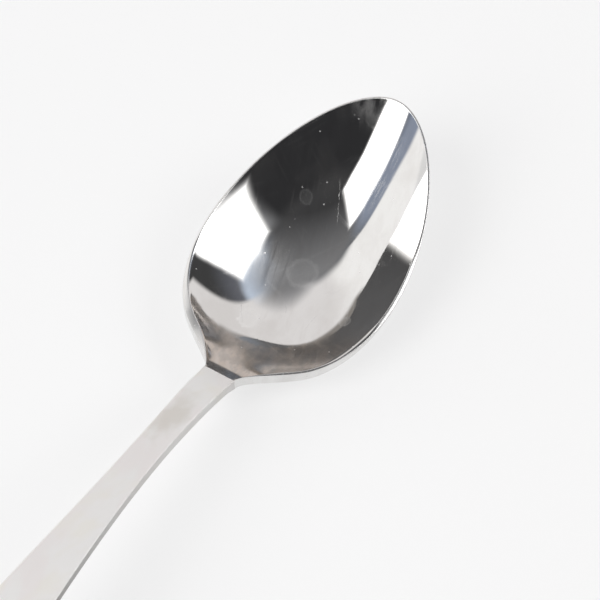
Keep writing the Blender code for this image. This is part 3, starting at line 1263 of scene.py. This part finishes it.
@dataclass
class Handle(Spoonwork):
    """The handle: a flat-topped strip that climbs from the neck, arches over and broadens.

    Distances run from the neck line towards the rounded end. Each size is an input of the tree.
    """

    length: float = 0.1365
    neck_half_width: float = 0.0034
    waist: float = 0.0207
    waist_half_width: float = 0.0030
    end_half_width: float = 0.0083
    end_round: float = 0.0175
    neck_height: float = 0.0094
    neck_slope: float = 0.58
    neck_rise_reach: float = 0.0130
    crest: float = 0.0701
    crest_height: float = 0.0219
    crest_reach_neck: float = 0.0128
    crest_reach_end: float = 0.0240
    end_slope: float = 0.42
    end_fall_reach: float = 0.0200
    neck_thickness: float = 0.0038
    neck_edge: float = 0.0029
    stem_edge: float = 0.0031
    end_thickness: float = 0.0024
    top_round: float = 0.0003
    foot_round: float = 0.0006
    round_run: float = 0.0030

    # Rows along the handle, columns round it, and the share of the rows up to the crest.
    ROWS = 221
    COLUMNS = 129
    CREST_ROW = 0.5
    # Stretches of the half section, as shares of the columns, and where the painted side shade
    # starts.
    TOP = (0.0, 0.34)
    TOP_CORNER = (0.34, 0.44)
    SIDE = (0.44, 0.52)
    FOOT_CORNER = (0.52, 0.64)
    BACK = (0.64, 1.0)
    DULL = (0.37, 0.44)
    # The half width has room for this many roundings.
    TOP_ROUNDS = 3
    FOOT_ROUNDS = 4

    def __post_init__(self) -> None:
        """Names the node that the handle stands for."""
        self.part = Part.HANDLE

    def sizes(self) -> dict[str, float]:
        """The tree's named inputs and their values."""
        titles = {field.name: field.name.replace("_", " ").title() for field in fields(self)}
        return {"Neck Line": NECK_LINE} | {titles[name]: getattr(self, name) for name in titles}

    def spine(self, size: dict[str, Signal], along: Signal) -> tuple[Signal, Signal]:
        """Side view of the top.

        Args:
            size: The tree's inputs by name.
            along: Place along the handle, from 0 to 1.

        Returns:
            Distance from the neck line, and height.
        """
        climb = along.ramp(0.0, self.CREST_ROW, eased=False)
        fall = along.ramp(self.CREST_ROW, 1.0, eased=False)
        fall = fall * (2 - fall)
        crest, rise, last = size["Crest"], size["Neck Rise Reach"], size["End Fall Reach"]
        start, top = size["Neck Height"], size["Crest Height"]
        span = size["Length"] - crest
        drop = size["End Thickness"] - top
        distance = cubic((0.0, rise, crest - size["Crest Reach Neck"], crest), climb)
        distance = distance + cubic((0.0, size["Crest Reach End"], span - last, span), fall)
        height = cubic((start, start + rise * size["Neck Slope"], top, top), climb)
        height = height + cubic((0.0, 0.0, drop + last * size["End Slope"], drop), fall)
        return distance, height

    def half_width(self, size: dict[str, Signal], distance: Signal) -> Signal:
        """Plan of the handle: in to the waist, out again and round the end.

        Args:
            size: The tree's inputs by name.
            distance: Distance from the neck line.

        Returns:
            Half the width there.
        """
        neck, waist = size["Neck Half Width"], size["Waist Half Width"]
        widest = size["Length"] - size["End Round"]
        inwards = (waist - neck) * distance.ramp(0.0, size["Waist"])
        outwards = (size["End Half Width"] - waist) * distance.ramp(size["Waist"], widest)
        turned = distance.ramp(widest, size["Length"], eased=False)
        closing = (1 - turned * turned).most(0.0)
        return (neck + inwards + outwards) * closing.math("SQRT", closing)

    def section(
        self, size: dict[str, Signal], distance: Signal, half: Signal, round_way: Signal
    ) -> tuple[Signal, Signal]:
        """Half section: flat top, rounded corner, upright side, rounded foot and bellied back.

        Args:
            size: The tree's inputs by name.
            distance: Distance from the neck line.
            half: Half the width there.
            round_way: Place round the half section, from 0 at the top to 1 at the back.

        Returns:
            Distance from the middle, and depth below the top.
        """
        thick, deep = size["Neck Thickness"], size["Neck Edge"]
        thickness = thick + (size["End Thickness"] - thick) * (distance / size["Length"])
        stem = deep + (size["Stem Edge"] - deep) * distance.ramp(0.0, size["Waist"])
        belly = (thick - stem) * (half / size["Neck Half Width"]).least(1.0)
        edge = thickness - belly
        fade = distance.ramp(0.0, size["Round Run"])
        corner = (size["Top Round"] * fade).least(half / self.TOP_ROUNDS)
        foot = (size["Foot Round"] * fade).least(half / self.FOOT_ROUNDS)
        stretches = (self.TOP, self.TOP_CORNER, self.SIDE, self.FOOT_CORNER, self.BACK)
        top, turn, side, low, back = (round_way.ramp(*span, eased=False) for span in stretches)
        turn, low = (angle * (math.pi / 2) for angle in (turn, low))
        across = (half - corner) * top + corner * turn.math("SINE", turn)
        across = across - foot * (1 - low.math("COSINE", low)) - (half - foot) * back
        depth = corner * (1 - turn.math("COSINE", turn)) + (edge - corner - foot) * side
        depth = depth + foot * low.math("SINE", low) + belly * back * (2 - back)
        return across, depth

    def tree(self, finish: bpy.types.Material) -> tuple[bpy.types.NodeTree, dict[str, str]]:
        """Geometry Nodes that sweep the section along the arch.

        Args:
            finish: The handle's material.

        Returns:
            The tree, and the identifiers of its inputs by name.
        """
        tree = bpy.data.node_groups.new("handle_sweep", "GeometryNodeTree")
        face, names = tree.interface, {}
        for name in self.sizes():
            socket = face.new_socket(name=name, in_out="INPUT", socket_type="NodeSocketFloat")
            names[name] = socket.identifier
        face.new_socket(name="Geometry", in_out="OUTPUT", socket_type="NodeSocketGeometry")
        bench = Bench(tree)
        inputs = bench.add("NodeGroupInput")
        size = {name: bench.signal(inputs, name) for name in names}
        counts = {"Vertices X": self.ROWS, "Vertices Y": self.COLUMNS}
        grid = bench.add("GeometryNodeMeshGrid", {"Size X": 1.0, "Size Y": 1.0, **counts})
        u, v, _ = bench.parts(bench.add("GeometryNodeInputPosition").outputs[0])
        round_way = abs(v * 2)
        distance, height = self.spine(size, u + 0.5)
        half = self.half_width(size, distance)
        across, depth = self.section(size, distance, half, round_way)
        across = across * v.math("SIGN", v)
        place = bench.vector(size["Neck Line"] - distance, across, height - depth)
        shape = grid.outputs["Mesh"]
        for kind, sockets in (
            # The stored side mask carries the painted shade: 0 on the top, 1 from the top corner
            # round the side and back.
            ("StoreNamedAttribute", {"Name": EDGE_LAYER, "Value": round_way.ramp(*self.DULL)}),
            ("SetPosition", {"Position": place}),
            ("MergeByDistance", {"Distance": WELD}),
            ("RealizeInstances", {}),
            ("SetMaterial", {"Material": finish}),
        ):
            shape = bench.add(f"GeometryNode{kind}", {"Geometry": shape, **sockets}).outputs[0]
        bench.add("NodeGroupOutput", {"Geometry": shape})
        return tree, names

    def build(self) -> bpy.types.Object:
        """Builds the handle from its tree and dresses it in satin steel.

        Returns:
            The piece.
        """
        tree, names = self.tree(SatinSteel().build("satin_steel"))
        blank = set_in_scene("handle_blank", bpy.data.meshes.new("handle_blank"))
        sweep = blank.modifiers.new("handle_sweep", "NODES")
        sweep.node_group = tree
        for name, value in self.sizes().items():
            sweep[names[name]] = value
        evaluated = blank.evaluated_get(bpy.context.evaluated_depsgraph_get())
        mesh = bpy.data.meshes.new_from_object(evaluated)
        blank.modifiers.remove(sweep)
        bpy.data.objects.remove(blank)
        self.close(mesh)
        return self.place(mesh)


@dataclass(frozen=True)
class Viewpoint:
    """Where the camera stands: it looks along a heading and down, at a point of the spoon."""

    heading: float = math.radians(31.356)
    drop: float = math.radians(56.0)
    distance: float = 0.56
    target: tuple[float, float, float] = (0.052203, -0.007271, 0.017582)
    lens: float = 172.935
    sensor: float = 36.0
    nearest: float = 0.01

    @property
    def away(self) -> Vector:
        """Level direction away from the camera."""
        return Vector((math.cos(self.heading), math.sin(self.heading), 0.0))

    @property
    def right(self) -> Vector:
        """Level direction to the camera's right."""
        return Vector((math.sin(self.heading), -math.cos(self.heading), 0.0))

    def direction(self, azimuth: float, elevation: float) -> Vector:
        """Direction from the spoon into the room.

        Args:
            azimuth: Degrees to the right of the direction away from the camera.
            elevation: Degrees above the table.

        Returns:
            A unit vector.
        """
        a, e = math.radians(azimuth), math.radians(elevation)
        level = self.away * math.cos(a) + self.right * math.sin(a)
        return level * math.cos(e) + Vector((0.0, 0.0, math.sin(e)))

    def set_up(self) -> None:
        """Puts the camera in the scene and looks through it."""
        forward = self.direction(0.0, -math.degrees(self.drop))
        data = bpy.data.cameras.new("camera")
        data.lens, data.sensor_width, data.clip_start = self.lens, self.sensor, self.nearest
        camera = set_in_scene("camera", data)
        turned = Matrix((self.right, self.right.cross(forward), -forward)).transposed().to_4x4()
        stand = Vector(self.target) - forward * self.distance
        camera.matrix_world = Matrix.Translation(stand) @ turned
        bpy.context.scene.camera = camera


@dataclass(frozen=True)
class Softbox:
    """A large even light, by the directions of its corners as the spoon sees them, in degrees."""

    name: str
    corners: tuple[Point, ...]
    distance: float = 1.9
    border: float = 0.17
    lit_share: float = 0.4

    def panel(self, points: Sequence[Vector]) -> bpy.types.Mesh:
        """Skin of the light: an even core in a border that fades outwards, as stretched cloth does.

        Args:
            points: Its corners in space, clockwise as the spoon sees them.

        Returns:
            The mesh, which carries 1 on the core and 0 on the outline.
        """
        middle = sum(points, Vector())
        core, outline = [], []
        for before, point, after in zip(points[-1:] + points[:-1], points, points[1:] + points[:1]):
            edges = (point - before, after - point)
            first, second = (edge.cross(middle).normalized() for edge in edges)
            outwards = (first + second) * (self.border / (1 + first.dot(second)))
            core.append(point - outwards * self.lit_share)
            outline.append(point + outwards * (1 - self.lit_share))
        count = len(points)
        ends = [(k, (k + 1) % count) for k in range(count)]
        ring = [(k, after, after + count, k + count) for k, after in ends]
        mesh = bpy.data.meshes.new(self.name)
        mesh.from_pydata(core + outline, [], [tuple(range(count)), *ring])
        carry(mesh, CORE_LAYER, [1.0] * count + [0.0] * count)
        return mesh

    def hang(self, view: Viewpoint) -> None:
        """Hangs the light in the room.

        Args:
            view: The camera's place, which the directions are measured from.
        """
        mesh = self.panel([view.direction(*corner) * self.distance for corner in self.corners])
        mesh.materials.append(LampCloth().build(self.name))
        panel = set_in_scene(self.name, mesh)
        panel.visible_camera = False


@dataclass(frozen=True)
class Room:
    """The room by direction: dark overhead and behind, a pale sheet on the far side.

    Borders are pairs of degrees to the right of the direction away from the camera, or above the
    table, from where they start to where they end. The ceiling and the back go by the share of the
    direction that points away.
    """

    view: Viewpoint
    ceiling: Point = (-0.35, 0.45)
    back: Point = (-0.35, -0.10)
    left_gap: Point = (-85.0, -62.0)
    right_gap: Point = (-40.0, 20.0)
    right_gap_top: Point = (30.0, 52.0)
    gap_top: Point = (46.0, 58.0)
    spill: Window = ((84.0, 92.0), (104.0, 126.0))
    glow_across: Window = ((22.0, 42.0), (55.0, 110.0))
    glow_up: Window = ((48.0, 53.0), (53.0, 62.0))
    horizon: Point = (2.0, 5.0)
    sheet_left: Point = (-89.5, -85.5)
    left_lean: float = 32.0
    left_lean_from: float = 20.0
    left_lean_run: float = 32.6
    sheet_right: Point = (56.5, 63.0)
    right_lean: float = 0.61
    right_lean_from: float = 21.0
    sheet_top: float = 49.5
    top_rises: tuple[tuple[Point, float], ...] = (((-50.0, -30.0), 1.5), ((-15.0, 25.0), 4.0))
    hem: float = 3.5
    hem_softer: float = 1.5
    hem_softens: Point = (-60.0, -30.0)
    sheet_lit: Point = (-40.0, -22.0)
    low_across: Window = ((-42.0, -34.0), (31.0, 37.0))
    low_up: Point = (15.5, 18.5)

    def hung(self, azimuth: Signal, elevation: Signal) -> Signal:
        """Where the sheet hangs.

        Args:
            azimuth: Degrees to the right.
            elevation: Degrees above the table.

        Returns:
            1 on the sheet, 0 beside it.
        """
        lean = (elevation - self.left_lean_from).most(0.0) / self.left_lean_run
        left = (azimuth - lean * lean * self.left_lean).ramp(*self.sheet_left)
        slant = (elevation - self.right_lean_from) * self.right_lean
        right = 1 - (azimuth + slant).ramp(*self.sheet_right)
        top = sum((azimuth.ramp(*span) * rise for span, rise in self.top_rises), self.sheet_top)
        soft = azimuth.ramp(*self.hem_softens) * self.hem_softer + self.hem
        return left * right * (1 - (elevation - top).ramp(soft * -1.0, soft))

    def colour(self, bench: Bench) -> bpy.types.NodeSocket:
        """Colour of the room in every direction.

        Args:
            bench: Bench of the world's tree.

        Returns:
            The colour's socket.
        """
        way = bench.find(bench.add("ShaderNodeTexCoord").outputs, "Generated")
        dots = (
            bench.add("ShaderNodeVectorMath", {0: way, 1: tuple(axis)}, operation="DOT_PRODUCT")
            for axis in (self.view.away, self.view.right)
        )
        along, aside = (bench.signal(dot, "Value") for dot in dots)
        upright = bench.parts(way)[2].most(-1.0).least(1.0)
        azimuth = aside.math("ARCTAN2", aside, along) * math.degrees(1.0)
        elevation = upright.math("ARCSINE", upright) * math.degrees(1.0)
        ahead = along.ramp(*self.ceiling, eased=False)
        overhead = bench.mix(ahead, Tone.CEILING_NEAR, Tone.CEILING_FAR)
        left = bench.mix(azimuth.ramp(*self.left_gap), Tone.LEFT_GAP, Tone.MIDDLE_GAP)
        right = bench.mix(elevation.ramp(*self.right_gap_top), Tone.RIGHT_GAP, Tone.RIGHT_GAP_TOP)
        gaps = bench.mix(azimuth.ramp(*self.right_gap), left, right)
        gaps = bench.mix(1 - along.ramp(*self.back), gaps, Tone.DARK_ROOM)
        gaps = bench.mix(azimuth.window(*self.spill), gaps, Tone.SPILL)
        room = bench.mix(elevation.ramp(*self.gap_top), gaps, overhead)
        glow = azimuth.window(*self.glow_across) * elevation.window(*self.glow_up)
        room = bench.mix(glow, room, Tone.GLOW)
        sheet = bench.mix(azimuth.ramp(*self.sheet_lit), Tone.LIT_SHEET, Tone.SHEET)
        low = azimuth.window(*self.low_across) * (1 - elevation.ramp(*self.low_up))
        sheet = bench.mix(low, sheet, Tone.LOW_SHEET)
        room = bench.mix(self.hung(azimuth, elevation), room, sheet)
        return bench.mix(1 - elevation.ramp(*self.horizon), room, Tone.HORIZON)

    def fit(self) -> None:
        """Lights the scene by the room."""
        world = bpy.data.worlds.new("room")
        world.use_nodes = True
        bench = Bench(world.node_tree)
        sockets = {"Color": self.colour(bench), "Strength": 1.0}
        light = bench.add("ShaderNodeBackground", sockets)
        bench.add("ShaderNodeOutputWorld", {"Surface": light.outputs[0]})
        bpy.context.scene.world = world


@dataclass(frozen=True)
class Studio:
    """The plain studio: a pale floor, two softboxes, the room and the camera."""

    view: Viewpoint = Viewpoint()
    floor_half: float = 2.5
    boxes: tuple[Softbox, ...] = (
        Softbox(
            "softbox_left",
            (
                (-149.5, 62.9), (-122.5, 65.7), (-95.5, 63.8), (-76.7, 58.9), (-88.0, 50.2),
                (-95.8, 42.6), (-98.8, 34.6), (-102.0, 27.7), (-105.0, 20.0), (-142.0, 20.0),
                (-145.4, 38.9), (-145.0, 48.0), (-148.5, 56.7),
            ),
        ),
        Softbox(
            "softbox_right",
            (
                (60.6, 50.4), (74.0, 53.0), (86.3, 53.5), (102.0, 53.2), (111.3, 43.7),
                (118.0, 32.5), (121.6, 26.8), (111.5, 28.7), (99.6, 31.4), (97.5, 22.0),
                (75.0, 19.0), (74.3, 32.9), (71.9, 40.1), (67.6, 45.4),
            ),
        ),
    )

    def lay_floor(self) -> None:
        """Lays the pale floor that the spoon rests on."""
        half = self.floor_half
        corners = [(-half, -half, 0.0), (half, -half, 0.0), (half, half, 0.0), (-half, half, 0.0)]
        mesh = bpy.data.meshes.new("floor")
        mesh.from_pydata(corners, [], [(0, 1, 2, 3)])
        mesh.materials.append(PalePaper().build("pale_paper"))
        set_in_scene("floor", mesh)

    def build(self) -> None:
        """Sets up the floor, the lights, the room and the camera."""
        self.lay_floor()
        for box in self.boxes:
            box.hang(self.view)
        Room(self.view).fit()
        self.view.set_up()
        bpy.context.scene.view_settings.view_transform = "Standard"


def main() -> None:
    """Builds the studio and the spoon."""
    logging.basicConfig(level=logging.INFO, format="%(name)s: %(message)s")
    Studio().build()
    for work in (Bowl(), Handle()):
        work.build()


if __name__ == "__main__":
    main()
